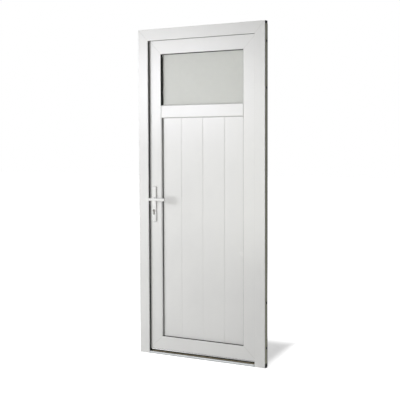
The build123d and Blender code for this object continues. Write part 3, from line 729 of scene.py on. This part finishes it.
class ScrewMaker:
    """Cross-recessed screw heads set on points by a Geometry Nodes tree.

    The shares are lengths as shares of the head's radius.
    """

    SIDES: int = 20
    TOP_SHARE: float = 0.72
    HEIGHT_SHARE: float = 0.32
    RECESS_LENGTH_SHARE: float = 1.15
    RECESS_WIDTH_SHARE: float = 0.26

    def __init__(self) -> None:
        """Build the tree once."""
        self.group = bpy.data.node_groups.new("Screw heads", "GeometryNodeTree")
        self.keys: dict[str, str] = {}
        inside = Tree(self.group)
        sockets = [
            ("Places", Socket.SHAPE),
            ("Head Radius", Socket.VALUE),
            ("Head Height", Socket.VALUE),
            ("Recess Width", Socket.VALUE),
            ("Finish", Socket.FINISH),
        ]
        for label, kind in sockets:
            socket = self.group.interface.new_socket(label, in_out="INPUT", socket_type=kind.value)
            self.keys[label] = socket.identifier
        self.group.interface.new_socket("Heads", in_out="OUTPUT", socket_type=Socket.SHAPE.value)
        entry = inside.add("NodeGroupInput")
        final = inside.add("NodeGroupOutput")
        self._wire(inside, entry, final)

    def _wire(self, inside: Tree, entry: Node, final: Node) -> None:
        """Connect the tree: a domed head, its cross recess, and a copy on each point.

        Args:
            inside: the tree.
            entry: the group's input node.
            final: the group's output node.
        """
        radius = entry.outputs["Head Radius"]
        height = entry.outputs["Head Height"]
        head = inside.add("GeometryNodeMeshCone", values={"Vertices": self.SIDES})
        inside.join(radius, head.inputs["Radius Bottom"])
        inside.join(inside.math("MULTIPLY", radius, self.TOP_SHARE), head.inputs["Radius Top"])
        inside.join(height, head.inputs["Depth"])
        recess = inside.add("GeometryNodeJoinGeometry")
        for turned in (False, True):
            size = inside.add("ShaderNodeCombineXYZ")
            long_side, short_side = (1, 0) if turned else (0, 1)
            length = inside.math("MULTIPLY", radius, self.RECESS_LENGTH_SHARE)
            inside.join(length, size.inputs[long_side])
            inside.join(entry.outputs["Recess Width"], size.inputs[short_side])
            inside.join(height, size.inputs[2])
            bar = inside.add("GeometryNodeMeshCube")
            inside.join(size.outputs[0], bar.inputs["Size"])
            inside.join(bar.outputs["Mesh"], recess.inputs[0])
        lift = inside.add("ShaderNodeCombineXYZ")
        inside.join(height, lift.inputs[2])
        raised = inside.add("GeometryNodeTransform")
        inside.join(recess.outputs[0], raised.inputs["Geometry"])
        inside.join(lift.outputs[0], raised.inputs["Translation"])
        ways = {"operation": "DIFFERENCE", "solver": "EXACT"}
        cut = inside.add("GeometryNodeMeshBoolean", ways, {"Self Intersection": True})
        inside.join(head.outputs["Mesh"], cut.inputs["Mesh 1"])
        inside.join(raised.outputs[0], cut.inputs["Mesh 2"])
        vector = {"data_type": "FLOAT_VECTOR"}
        facing = inside.add("GeometryNodeInputNamedAttribute", vector, {"Name": "facing"})
        turn = inside.add("FunctionNodeAlignRotationToVector", {"axis": "Z"})
        inside.join(facing.outputs["Attribute"], turn.inputs["Vector"])
        copies = inside.add("GeometryNodeInstanceOnPoints")
        inside.join(entry.outputs["Places"], copies.inputs["Points"])
        inside.join(cut.outputs["Mesh"], copies.inputs["Instance"])
        inside.join(turn.outputs[0], copies.inputs["Rotation"])
        solid = inside.add("GeometryNodeRealizeInstances")
        inside.join(copies.outputs[0], solid.inputs[0])
        finish = inside.add("GeometryNodeSetMaterial")
        inside.join(solid.outputs[0], finish.inputs["Geometry"])
        inside.join(entry.outputs["Finish"], finish.inputs["Material"])
        inside.join(finish.outputs[0], final.inputs[0])

    def make(self, name: str, places: list[Place], radius: float, material: Material) -> Object:
        """Make one object with a screw head on every place.

        Args:
            name: the object's name.
            places: point and outward direction of each screw.
            radius: radius of the heads.
            material: their finish.

        Returns:
            The object, as a plain mesh.
        """
        seed_mesh = bpy.data.meshes.new(f"{name}_places")
        seed_mesh.from_pydata([point for point, _ in places], [], [])
        facing = seed_mesh.attributes.new("facing", "FLOAT_VECTOR", "POINT")
        facing.data.foreach_set("vector", [value for _, way in places for value in way])
        seed = bpy.data.objects.new(f"{name}_seed", seed_mesh)
        bpy.context.scene.collection.objects.link(seed)
        modifier = seed.modifiers.new("heads", "NODES")
        modifier.node_group = self.group
        settings = {
            "Head Radius": radius,
            "Head Height": self.HEIGHT_SHARE * radius,
            "Recess Width": self.RECESS_WIDTH_SHARE * radius,
            "Finish": material,
        }
        for label, value in settings.items():
            modifier[self.keys[label]] = value
        evaluated = seed.evaluated_get(bpy.context.evaluated_depsgraph_get())
        mesh = bpy.data.meshes.new_from_object(evaluated)
        mesh.name = name
        bpy.data.objects.remove(seed)
        heads = bpy.data.objects.new(name, mesh)
        bpy.context.scene.collection.objects.link(heads)
        LOG.info("%s: %d screws", name, len(places))
        return heads


@dataclass
class DoorFrame:
    """Jambs and head, with black painted shade deep in their returns, drawn as seal edges."""

    back_step: float = 0.014
    step_depth: float = 0.0
    # Painted shade on the wall side: dark olive-grey, darker past a depth, black for a short way at the foot
    # and the top.
    wall_side_shade: tuple[Colour, Colour] = ((0.34, 0.342, 0.195), (0.142, 0.145, 0.06))
    darker_shade_depth: float = -0.019
    shaded_foot: float = 0.024
    shaded_cap: float = 0.016
    # Past this depth the returns are painted black: painted shade in the gap, drawn as a seal edge.
    seal_shade_depth: float = -0.0235
    fixing_depth: float = -0.008
    fixing_offsets: Pair = (0.885, 0.620)
    # Radius of the black painted shade at each fixing hole, wider than the hole.
    bore_shade_radius: float = 0.0085

    def finish(self, run: Run) -> PlasticFinish:
        """Give the frame's plastic for one way of running.

        Args:
            run: the way the profiles run.

        Returns:
            The finish.
        """
        _, (half_width, _, height) = CAD_BOX
        half_clear = -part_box("lock_jamb")[1].x
        clear_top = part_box("frame_head")[0].z
        # Painted shade in black at the foot and the top of the wall side.
        ends = (
            Zone(height, low=-height, high=self.shaded_foot, depth=-height),
            Zone(height, low=height - self.shaded_cap, high=2 * height, depth=-height),
        )
        return PlasticFinish(
            f"frame_plastic_{run.name.lower()}",
            run,
            wall_side_shade=self.wall_side_shade,
            darker_shade_depth=self.darker_shade_depth,
            shaded_ends=ends if run is Run.UPRIGHT else (),
            seals_and_shade=(Zone(half_clear, -height, clear_top, self.seal_shade_depth),),
            welds=(Weld((half_width, height), (half_clear, clear_top)),),
        )

    def dress(self, effects: Effects) -> None:
        """Give the frame its plastic.

        Args:
            effects: the shared effects.
        """
        dress(["lock_jamb", "hinge_jamb"], self.finish(Run.UPRIGHT).material(effects))
        dress(["frame_head"], self.finish(Run.LEVEL).material(effects))


@dataclass
class DoorLeaf:
    """Stiles, rails and beads of the leaf."""

    names: tuple[str, str] = ("glass", "panel")
    face: float = 0.095
    bottom_face: float = 0.085
    bevel: Pair = (0.005, 0.003)
    bevel_back: float = -0.007
    # Painted shade in black round the openings, drawn as seal edges: how far it shows on each bevel, and the
    # depth past which the panel's returns turn black.
    lock_glass_show: float = 0.0045
    hinge_glass_show: float = 0.0004
    rail_glass_show: float = 0.0024
    hinge_panel_show: float = 0.0012
    ledge_show: float = 0.001
    panel_seal_shade_depth: float = 0.0005
    # The leaf's lowest strip is painted black, as painted shade in the gap under the leaf.
    foot_shade: float = 0.0018
    skin_roughness: Pair = (0.2, 0.28)
    skin_lines: float = 260.0

    def seal_and_shade_zone(self, half: float, low: float, high: float, show: float) -> Zone:
        """Give the zone of black on the bevel round an opening: painted shade in the gap, drawn as a black
        seal's edge.

        Args:
            half: half the width of the opening.
            low: height of its lower edge.
            high: height of its upper edge.
            show: how far the painted black reaches out on the bevel.

        Returns:
            The zone.
        """
        width, depth = self.bevel
        return Zone(half, low, high, self.bevel_back - show * depth / width - Zone.margin, show)

    def finish(
        self, name: str, run: Run, glass_show: float | None = None, panel_show: float | None = None
    ) -> PlasticFinish:
        """Give the plastic of one bar of the leaf, with its welds and the black painted shade round its
        openings and at its foot.

        Args:
            name: the bar's name.
            run: the way the bar runs.
            glass_show: how far the painted black shows on the glass's bevel, if it does.
            panel_show: how far the painted black shows on the panel's bevel, if it reaches the bevel.

        Returns:
            The finish.
        """
        half = -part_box("lock_stile")[1].x
        mid_low, mid_high = (corner.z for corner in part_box("leaf_mid_rail"))
        glass_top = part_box("leaf_top_rail")[0].z
        panel_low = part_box("leaf_bottom_rail")[1].z
        outer, foot, top = half + self.face, panel_low - self.bottom_face, glass_top + self.face
        # Painted shade in black: the panel's returns, the leaf's foot and the ledge above the bottom rail,
        # drawn as seal edges.
        seals_and_shade = [
            Zone(half, panel_low, mid_low, self.panel_seal_shade_depth),
            Zone(outer, -top, foot + self.foot_shade, -top),
            self.seal_and_shade_zone(half, panel_low, panel_low, self.ledge_show),
        ]
        if glass_show is not None:
            seals_and_shade.append(self.seal_and_shade_zone(half, mid_high, glass_top, glass_show))
        if panel_show is not None:
            seals_and_shade.append(self.seal_and_shade_zone(half, panel_low, mid_low, panel_show))
        return PlasticFinish(
            f"{name}_plastic",
            run,
            seals_and_shade=tuple(seals_and_shade),
            welds=(
                Weld((outer, top), (half, glass_top)),
                Weld((outer, foot), (half, panel_low)),
            ),
        )

    def dress(self, effects: Effects) -> None:
        """Give the leaf its plastic.

        Args:
            effects: the shared effects.
        """
        top_rail = self.finish("top_rail", Run.LEVEL, self.rail_glass_show)
        dress(["leaf_top_rail"], top_rail.material(effects))
        dress(["leaf_mid_rail", "leaf_bottom_rail"], self.finish("rail", Run.LEVEL).material(effects))
        lock_stile = self.finish("lock_stile", Run.UPRIGHT, self.lock_glass_show)
        dress(["lock_stile"], lock_stile.material(effects))
        hinge_stile = self.finish("hinge_stile", Run.UPRIGHT, self.hinge_glass_show, self.hinge_panel_show)
        dress(["hinge_stile"], hinge_stile.material(effects))
        for run, sides in ((Run.UPRIGHT, ("left", "right")), (Run.LEVEL, ("top", "bottom"))):
            beads = [f"{name}_bead_{side}" for name in self.names for side in sides]
            dress(beads, PlasticFinish(f"bead_plastic_{run.name.lower()}", run).material(effects))
        skin = PlasticFinish(
            "panel_skin", Run.UPRIGHT, roughness=self.skin_roughness, line_density=self.skin_lines
        )
        dress(["infill_panel"], skin.material(effects))


@dataclass
class Glazing:
    """Sealed unit and all rubber."""

    obscured: Colour = (0.695, 0.705, 0.665)
    clear: Colour = (0.93, 0.96, 0.94)

    def dress(self, effects: Effects) -> None:
        """Give the panes, spacer and rubber their finishes.

        Args:
            effects: the shared effects.
        """
        outer = GlassFinish(
            "obscured_glass", self.obscured, roughness=(0.30, 0.38), transmission=0.35, texture_scale=150.0
        )
        inner = GlassFinish("clear_glass", self.clear, roughness=(0.01, 0.03), transmission=1.0)
        dress(["outer_pane"], outer.material(effects))
        dress(["inner_pane"], inner.material(effects))
        spacer = MetalFinish(
            "spacer_metal", light=(0.62, 0.63, 0.64), shade=(0.45, 0.46, 0.47), roughness=(0.35, 0.5)
        )
        dress(["glass_spacer"], spacer.material(effects))
        rubber = RubberFinish("black_rubber").material(effects)
        gaskets = [f"{name}_{side}_gasket" for name in ("glass", "panel") for side in ("outer", "inner")]
        dress([*gaskets, "frame_seal", "leaf_seal", "threshold_seal"], rubber)


@dataclass
class Threshold:
    """Low metal threshold with a pale nose; behind the nose it is painted dark brown-grey, as painted shade
    under the leaf.
    """

    light: Colour = (0.40, 0.41, 0.41)
    shade: Colour = (0.30, 0.31, 0.32)
    # Painted shade: dark brown-grey on everything behind the nose.
    painted_shade: Colour = (0.185, 0.158, 0.108)
    nose_depth: float = 0.0098
    roughness: Pair = (0.32, 0.48)

    def dress(self, effects: Effects) -> None:
        """Give the threshold its anodised finish, with the painted shade behind its nose.

        Args:
            effects: the shared effects.
        """
        low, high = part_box("threshold")
        depths = (low.y + self.nose_depth, high.y + self.nose_depth)
        finish = MetalFinish(
            "threshold_metal", self.light, self.shade, self.roughness, painted_shade=self.painted_shade, painted_shade_depths=depths
        )
        dress(["threshold"], finish.material(effects))


@dataclass
class HandleSet:
    """Back plates, levers, cylinder and the plate screws on the room side."""

    screw_radius: float = 0.0036
    screw_inset: float = 0.012
    cylinder_face: float = 0.0003
    # The cylinder's sides are painted black, as painted shade; only its end faces keep the nickel.
    cylinder_side_shade: Colour = (0.03, 0.03, 0.028)
    nickel_light: Colour = (0.19, 0.186, 0.176)
    nickel_shade: Colour = (0.13, 0.127, 0.12)
    nickel_roughness: Pair = (0.40, 0.52)

    def dress(self, effects: Effects) -> None:
        """Give the handle set its enamel and nickel, with black painted shade on the cylinder's sides.

        Args:
            effects: the shared effects.
        """
        enamel = EnamelFinish("handle_enamel").material(effects)
        dress(["outer_handle_plate", "inner_handle_plate", "outer_lever", "inner_lever"], enamel)
        low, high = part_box("lock_cylinder")
        nickel = MetalFinish(
            "cylinder_nickel",
            self.nickel_light,
            self.nickel_shade,
            self.nickel_roughness,
            painted_shade=self.cylinder_side_shade,
            painted_shade_depths=(low.y + self.cylinder_face, high.y - self.cylinder_face),
        )
        dress(["lock_cylinder"], nickel.material(effects))

    def screw_places(self) -> list[Place]:
        """Set out the screws at both ends of the inner plate.

        Returns:
            Their places.
        """
        low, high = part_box("inner_handle_plate")
        middle = (low.x + high.x) / 2
        heights = (low.z + self.screw_inset, high.z - self.screw_inset)
        return [(Vector((middle, high.y, height)), Vector((0, 1, 0))) for height in heights]


@dataclass
class LockEdge:
    """Faceplate, bolts, keepers and their screws."""

    screw_radius: float = 0.0034
    plate_screws: int = 6
    plate_inset: float = 0.012
    keeper_inset: float = 0.0095
    keeper_gap: float = 0.1
    zinc_light: Colour = (0.66, 0.67, 0.68)
    zinc_shade: Colour = (0.48, 0.49, 0.50)
    zinc_roughness: Pair = (0.25, 0.4)
    zinc_stretch: Triple = (1.0, 1.0, 0.02)

    def dress(self, effects: Effects) -> Material:
        """Give the lock's metal its zinc plate.

        Args:
            effects: the shared effects.

        Returns:
            The zinc finish, which the screws share.
        """
        zinc = MetalFinish(
            "zinc_plate", self.zinc_light, self.zinc_shade, self.zinc_roughness, stretch=self.zinc_stretch
        )
        material = zinc.material(effects)
        dress(["lock_faceplate", "lock_bolts", "lock_keepers", "hinge_pins", "lever_spindle"], material)
        return material

    def leaf_places(self) -> list[Place]:
        """Set out the screws of the faceplate, evenly from end to end.

        Returns:
            Their places.
        """
        low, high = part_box("lock_faceplate")
        middle = (low.y + high.y) / 2
        first = low.z + self.plate_inset
        pitch = (high.z - self.plate_inset - first) / (self.plate_screws - 1)
        heights = [first + index * pitch for index in range(self.plate_screws)]
        return [(Vector((low.x, middle, height)), Vector((-1, 0, 0))) for height in heights]

    def frame_places(self) -> list[Place]:
        """Set out the screws of the keepers, one at each end of each plate.

        Returns:
            Their places.
        """
        low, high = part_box("lock_keepers")
        middle = (low.y + high.y) / 2
        heights = []
        for bottom, top in upright_spans("lock_keepers", self.keeper_gap):
            heights += [bottom + self.keeper_inset, top - self.keeper_inset]
        return [(Vector((high.x, middle, height)), Vector((1, 0, 0))) for height in heights]


@dataclass
class HingeSet:
    """Three hinges on the room side with their screws."""

    names: tuple[str, ...] = ("lower", "middle", "upper")
    wing_thickness: float = 0.0035
    base_thickness: float = 0.006
    wing_width: float = 0.044
    base_width: float = 0.018
    base_pitch: float = 0.02
    screw_radius: float = 0.004
    screw_inset: float = 0.012

    def dress(self, effects: Effects) -> None:
        """Give the hinges their enamel.

        Args:
            effects: the shared effects.
        """
        enamel = EnamelFinish("hinge_enamel").material(effects)
        dress([f"{name}_hinge_{part}" for name in self.names for part in ("wing", "bracket")], enamel)

    def wing_places(self) -> list[Place]:
        """Set out the screws of the leaf wings, two across and two up on each.

        Returns:
            Their places.
        """
        places = []
        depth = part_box("lock_stile")[1].y + self.wing_thickness
        for name in self.names:
            low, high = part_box(f"{name}_hinge_wing")
            columns = (low.x + self.screw_inset, low.x + self.wing_width - self.screw_inset)
            rows = (low.z + self.screw_inset, high.z - self.screw_inset)
            places += [(Vector((x, depth, z)), Vector((0, 1, 0))) for x in columns for z in rows]
        return places

    def bracket_places(self) -> list[Place]:
        """Set out the two screws of each frame bracket, between its knuckles.

        Returns:
            Their places.
        """
        places = []
        for name in self.names:
            low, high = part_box(f"{name}_hinge_bracket")
            middle = (low.z + high.z) / 2
            across, depth = low.x + self.base_width / 2, low.y + self.base_thickness
            for side in (-1, 1):
                point = Vector((across, depth, middle + side * self.base_pitch / 2))
                places.append((point, Vector((0, 1, 0))))
        return places


class Tint(Enum):
    """Colours of the lamps."""

    PLAIN = (1.0, 1.0, 1.0)
    SOFT = (1.0, 1.0, 0.985)
    WARM = (1.01, 1.01, 0.94)
    AMBER = (1.0, 1.0, 0.9)
    COOL = (0.985, 0.975, 1.06)


@dataclass(frozen=True)
class Lamp:
    """One rectangular studio lamp."""

    name: str
    place: Triple
    aim: Triple
    width: float
    height: float
    watts: float
    tint: Tint = Tint.PLAIN

    def make(self) -> None:
        """Put the lamp in the scene."""
        light = bpy.data.lights.new(self.name, "AREA")
        light.shape = "RECTANGLE"
        light.size = self.width
        light.size_y = self.height
        light.energy = self.watts
        light.color = self.tint.value
        lamp = bpy.data.objects.new(self.name, light)
        way = Vector(self.aim) - Vector(self.place)
        turn = way.to_track_quat("-Z", "Y").to_matrix().to_4x4()
        lamp.matrix_world = Matrix.Translation(self.place) @ turn
        bpy.context.scene.collection.objects.link(lamp)


@dataclass
class Studio:
    """White floor and background, lamps, and the camera at the photograph's angle."""

    frame_pixels: float = 400.0
    focal_pixels: float = 947.6
    sensor_mm: float = 36.0
    azimuth_deg: float = 31.56
    pitch_deg: float = 3.27
    roll_deg: float = -0.20
    camera_place: Triple = (2.9619, -4.8478, 1.2888)
    floor_size: float = 60.0
    floor_drop: float = 0.0006
    floor_white: float = 0.85
    floor_roughness: float = 0.9
    # Glow inside the painted shadow zone behind the door; the real shadow shows there.
    shadow_zone_glow: float = 0.345
    shadow_edge: Pair = (0.43, 0.21)
    shadow_fade: Pair = (-0.06, 0.06)
    shadow_end: Pair = (0.56, 0.84)
    shadow_front: Pair = (0.0, -0.05)
    shadow_left: Pair = (0.0, -0.3)
    ambient: float = 0.1
    lamps: list[Lamp] = field(
        default_factory=lambda: [
            Lamp("soft_lamp", (-1.5, -2.6, 1.4), (0.0, 0.0, 1.1), 2.2, 2.2, 28.0, Tint.SOFT),
            Lamp("front_lamp", (-0.8, -3.4, 1.1), (-0.1, 0.0, 0.9), 1.8, 1.8, 19.5, Tint.WARM),
            Lamp("upper_left_lamp", (-2.65, -3.8, 1.9), (-0.25, 0.0, 1.62), 1.1, 0.8, 25.8, Tint.COOL),
            Lamp("upper_right_lamp", (-1.7, -3.8, 1.75), (0.3, 0.0, 1.5), 0.9, 1.1, 6.2),
            Lamp("lower_right_lamp", (-1.7, -3.8, 0.7), (0.3, 0.0, 0.9), 0.9, 0.9, 3.2, Tint.AMBER),
            Lamp("key_lamp", (-2.5, -1.4, 2.35), (0.0, 0.0, 1.0), 0.4, 0.5, 3.6),
            Lamp("back_lamp", (0.2, 3.6, 2.0), (0.0, 0.0, 1.0), 1.4, 1.4, 45.0),
        ]
    )

    def camera(self) -> None:
        """Make the camera."""
        turns = (self.azimuth_deg, self.pitch_deg, self.roll_deg)
        azimuth, pitch, roll = (math.radians(turn) for turn in turns)
        level = math.cos(pitch)
        ahead = Vector((-math.sin(azimuth) * level, math.cos(azimuth) * level, -math.sin(pitch)))
        right = Vector((math.cos(azimuth), math.sin(azimuth), 0.0))
        above = right.cross(ahead)
        x_axis = right * math.cos(roll) + above * math.sin(roll)
        y_axis = above * math.cos(roll) - right * math.sin(roll)
        turn = Matrix((x_axis, y_axis, -ahead)).transposed().to_4x4()
        data = bpy.data.cameras.new("camera")
        data.sensor_width = self.sensor_mm
        data.lens = self.focal_pixels / self.frame_pixels * self.sensor_mm
        eye = bpy.data.objects.new("camera", data)
        eye.matrix_world = Matrix.Translation(self.camera_place) @ turn
        bpy.context.scene.collection.objects.link(eye)
        bpy.context.scene.camera = eye

    def background_rays(self, tree: Tree) -> NodeSocket:
        """Give 1 for the rays that see the background: camera, glossy and transmission.

        Args:
            tree: tree of the world or of a stage material.

        Returns:
            The mask.
        """
        path = tree.add("ShaderNodeLightPath")
        glossy = tree.math("MAXIMUM", path.outputs["Is Camera Ray"], path.outputs["Is Glossy Ray"])
        return tree.math("MAXIMUM", glossy, path.outputs["Is Transmission Ray"])

    def world(self) -> None:
        """Make a white world that lights the object only a little."""
        world = bpy.data.worlds.new("studio")
        world.use_nodes = True
        bpy.context.scene.world = world
        tree = Tree(world.node_tree)
        back = world.node_tree.nodes["Background"]
        back.inputs["Color"].default_value = (1.0, 1.0, 1.0, 1.0)
        seen = self.background_rays(tree)
        tree.join(tree.remap(seen, self.ambient, 1.0), back.inputs["Strength"])

    def fade(self, tree: Tree, value: NodeSocket, start: float, end: float) -> NodeSocket:
        """Rise softly from 0 to 1 between two values.

        Args:
            tree: tree of the stage material.
            value: the value that rises.
            start: value at 0.
            end: value at 1.

        Returns:
            The soft step.
        """
        smooth = {"interpolation_type": "SMOOTHSTEP"}
        node = tree.add("ShaderNodeMapRange", smooth, {"From Min": start, "From Max": end})
        tree.join(value, node.inputs[0])
        return node.outputs[0]

    def floor(self) -> None:
        """Make the white floor. Its glow is lower in a fixed zone behind the door, a painted shadow zone
        where the door's real shadow shows; elsewhere the glow hides the shadow.
        """
        half = self.floor_size / 2
        corners = [(-half, -half), (half, -half), (half, half), (-half, half)]
        mesh = bpy.data.meshes.new("floor")
        mesh.from_pydata([(x, y, -self.floor_drop) for x, y in corners], [], [(0, 1, 2, 3)])
        plane = bpy.data.objects.new("floor", mesh)
        bpy.context.scene.collection.objects.link(plane)
        material, tree, shader = new_material("floor_paper")
        shader.inputs["Base Color"].default_value = (*[self.floor_white] * 3, 1.0)
        shader.inputs["Roughness"].default_value = self.floor_roughness
        shader.inputs["Specular IOR Level"].default_value = 0.0
        split = tree.add("ShaderNodeSeparateXYZ")
        tree.join(tree.add("ShaderNodeTexCoord").outputs["Object"], split.inputs[0])
        across, depth = split.outputs[0], split.outputs[1]
        # Painted shadow zone: the glow drops inside a fixed zone behind the door, where the real shadow
        # shows; outside it the glow hides the shadow.
        edge, lean = self.shadow_edge
        beside = tree.math("SUBTRACT", tree.math("ADD", across, tree.math("MULTIPLY", depth, lean)), edge)
        clear = self.fade(tree, beside, *self.shadow_fade)
        for way, span in ((depth, self.shadow_end), (depth, self.shadow_front), (across, self.shadow_left)):
            clear = tree.math("MAXIMUM", clear, self.fade(tree, way, *span))
        shader.inputs["Emission Color"].default_value = (1.0, 1.0, 1.0, 1.0)
        glow = tree.math("MULTIPLY", tree.remap(clear, self.shadow_zone_glow, 1.0), self.background_rays(tree))
        tree.join(glow, shader.inputs["Emission Strength"])
        mesh.materials.append(material)

    def make(self) -> None:
        """Build the whole studio."""
        bpy.context.scene.view_settings.view_transform = "Standard"
        self.camera()
        self.world()
        self.floor()
        for lamp in self.lamps:
            lamp.make()


def make_effects(door_frame: DoorFrame) -> Effects:
    """Build the shared effects from the frame's own size.

    Args:
        door_frame: the frame's sizes.

    Returns:
        The effects.
    """
    _, (half_width, _, height) = CAD_BOX
    wall_side = wall_side_effect(half_width, height, door_frame.back_step, door_frame.step_depth)
    bores = bore_shade_effect(
        height / 2, door_frame.fixing_depth, door_frame.fixing_offsets, door_frame.bore_shade_radius
    )
    return Effects(
        lines=die_lines_effect(),
        mottle=soft_mottle_effect(),
        wall_side=wall_side,
        past_depth=past_depth_effect(),
        zone=zone_effect(),
        weld=weld_effect(),
        bore_shade=bores,
    )


def main() -> None:
    """Dress the door, add its screws and set up the studio."""
    logging.basicConfig(level=logging.INFO)
    door_frame = DoorFrame()
    effects = make_effects(door_frame)
    door_frame.dress(effects)
    DoorLeaf().dress(effects)
    Glazing().dress(effects)
    Threshold().dress(effects)
    handles = HandleSet()
    handles.dress(effects)
    lock_edge = LockEdge()
    zinc = lock_edge.dress(effects)
    hinges = HingeSet()
    hinges.dress(effects)
    maker = ScrewMaker()
    rows = [
        ("handle_screws", handles.screw_places(), handles.screw_radius, "leaf"),
        ("faceplate_screws", lock_edge.leaf_places(), lock_edge.screw_radius, "leaf"),
        ("keeper_screws", lock_edge.frame_places(), lock_edge.screw_radius, "frame"),
        ("hinge_wing_screws", hinges.wing_places(), hinges.screw_radius, "leaf"),
        ("hinge_bracket_screws", hinges.bracket_places(), hinges.screw_radius, "frame"),
    ]
    for name, places, radius, body in rows:
        heads = maker.make(name, places, radius, zinc)
        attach(heads, body)
    Studio().make()


if __name__ == "__main__":
    main()
